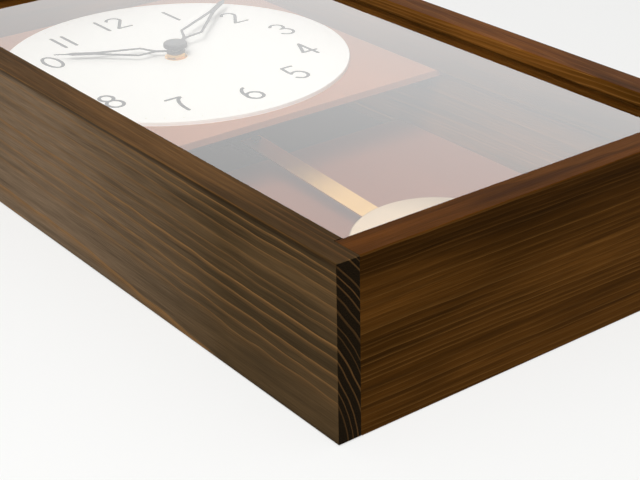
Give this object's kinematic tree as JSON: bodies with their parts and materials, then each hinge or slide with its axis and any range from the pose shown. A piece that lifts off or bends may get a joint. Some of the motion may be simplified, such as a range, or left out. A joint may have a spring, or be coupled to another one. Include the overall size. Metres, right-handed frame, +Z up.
{
  "type": "pendulum wall clock",
  "caption": "Upright box clock of stained boards with a fixed glass front, round white dial on a board, openwork black hands and a swinging brass pendulum, open at the back above a low panel",
  "frame": {"origin": "the middle of the underside of the case", "axes": "+X to the dial's 3 o'clock side, +Y from the glass to the back, +Z up to 12 o'clock"},
  "size_m": [0.26, 0.09, 0.46],
  "materials": {
    "stained_wood": "dark stain, clear satin lacquer",
    "dial_board_stain": "reddish brown stain, matt",
    "back_board": "brown stained fibreboard",
    "beech": "plain",
    "clear_glass": "clear, polished",
    "dial_white": "matt, printed",
    "hand_black": "matt black paint",
    "hub_brass": "turned",
    "bob_brass": "lacquered, satin",
    "rod_brass": "lacquered, satin",
    "black_plastic": "moulded",
    "gear_plastic": "moulded",
    "steel": "plain",
    "zinc_steel": "zinc plated",
    "circuit_green": "solder mask",
    "copper_wire": "enamelled copper",
    "battery_wrap": "plain wrapper"
  },
  "bodies": {
    "case": {"left_side_panel": "stained_wood", "right_side_panel": "stained_wood", "bottom_panel": "stained_wood", "top_panel": "stained_wood", "corner_dowels": "beech", "front_glass": "clear_glass", "glass_stop_left": "stained_wood", "glass_stop_right": "stained_wood", "glass_stop_top": "stained_wood", "glass_stop_bottom": "stained_wood", "dial_board": "dial_board_stain", "dial_board_cleat_left": "stained_wood", "dial_board_cleat_right": "stained_wood", "cleat_screws": "zinc_steel", "dial_plate": "dial_white", "centre_washer": "hub_brass", "centre_nut": "hub_brass", "movement_case_front": "black_plastic", "movement_case_back": "black_plastic", "movement_bushing": "hub_brass", "drive_block": "black_plastic", "battery": "battery_wrap", "battery_terminals": "steel", "circuit_board": "circuit_green", "pendulum_coil": "copper_wire", "pivot_pin": "steel", "back_panel": "back_board", "back_panel_screws": "zinc_steel", "hanging_rail": "stained_wood", "hanger_plate": "zinc_steel", "hanger_screws": "zinc_steel"},
    "minute": {"minute_arbor": "steel", "centre_wheel": "gear_plastic", "minute_hand": "hand_black", "hand_cap": "hand_black"},
    "hour": {"hour_wheel": "gear_plastic", "hour_hand": "hand_black"},
    "intermediate": {"minute_wheel": "gear_plastic"},
    "knob": {"setting_knob": "black_plastic"},
    "arm": {"pendulum_arm": "black_plastic", "arm_magnet": "steel"},
    "pendulum": {"pendulum_rod": "rod_brass", "bob_shell": "bob_brass", "bob_back_plate": "zinc_steel", "bob_nut": "hub_brass"}
  },
  "joints": [
    {"name": "minute_turn", "type": "hinge", "parent": "case", "child": "minute", "pos_m": [0, -0.0005, 0.331], "axis": [0, 1, 0], "continuous": true},
    {"name": "hour_turn", "type": "hinge", "parent": "case", "child": "hour", "pos_m": [0, -0.0005, 0.331], "axis": [0, 1, 0], "continuous": true},
    {"name": "minute_wheel_turn", "type": "hinge", "parent": "case", "child": "intermediate", "pos_m": [-0.00848, -0.0046, 0.32251], "axis": [0, 1, 0], "continuous": true},
    {"name": "knob_turn", "type": "hinge", "parent": "case", "child": "knob", "pos_m": [-0.01259, 0.0075, 0.31124], "axis": [0, 1, 0], "continuous": true},
    {"name": "pendulum_swing", "type": "hinge", "parent": "case", "child": "arm", "pos_m": [0, 0.018, 0.292], "axis": [0, 1, 0], "range_deg": [-7, 7]},
    {"name": "pendulum_lean", "type": "hinge", "parent": "arm", "child": "pendulum", "pos_m": [0, 0.015, 0.246], "axis": [-1, 0, 0], "range_deg": [0, 7]}
  ],
  "couplings": [
    {"joint": "hour_turn", "follows": "minute_turn", "ratio": 0.083333},
    {"joint": "minute_wheel_turn", "follows": "minute_turn", "ratio": -0.33333},
    {"joint": "knob_turn", "follows": "minute_turn", "ratio": 1}
  ]
}
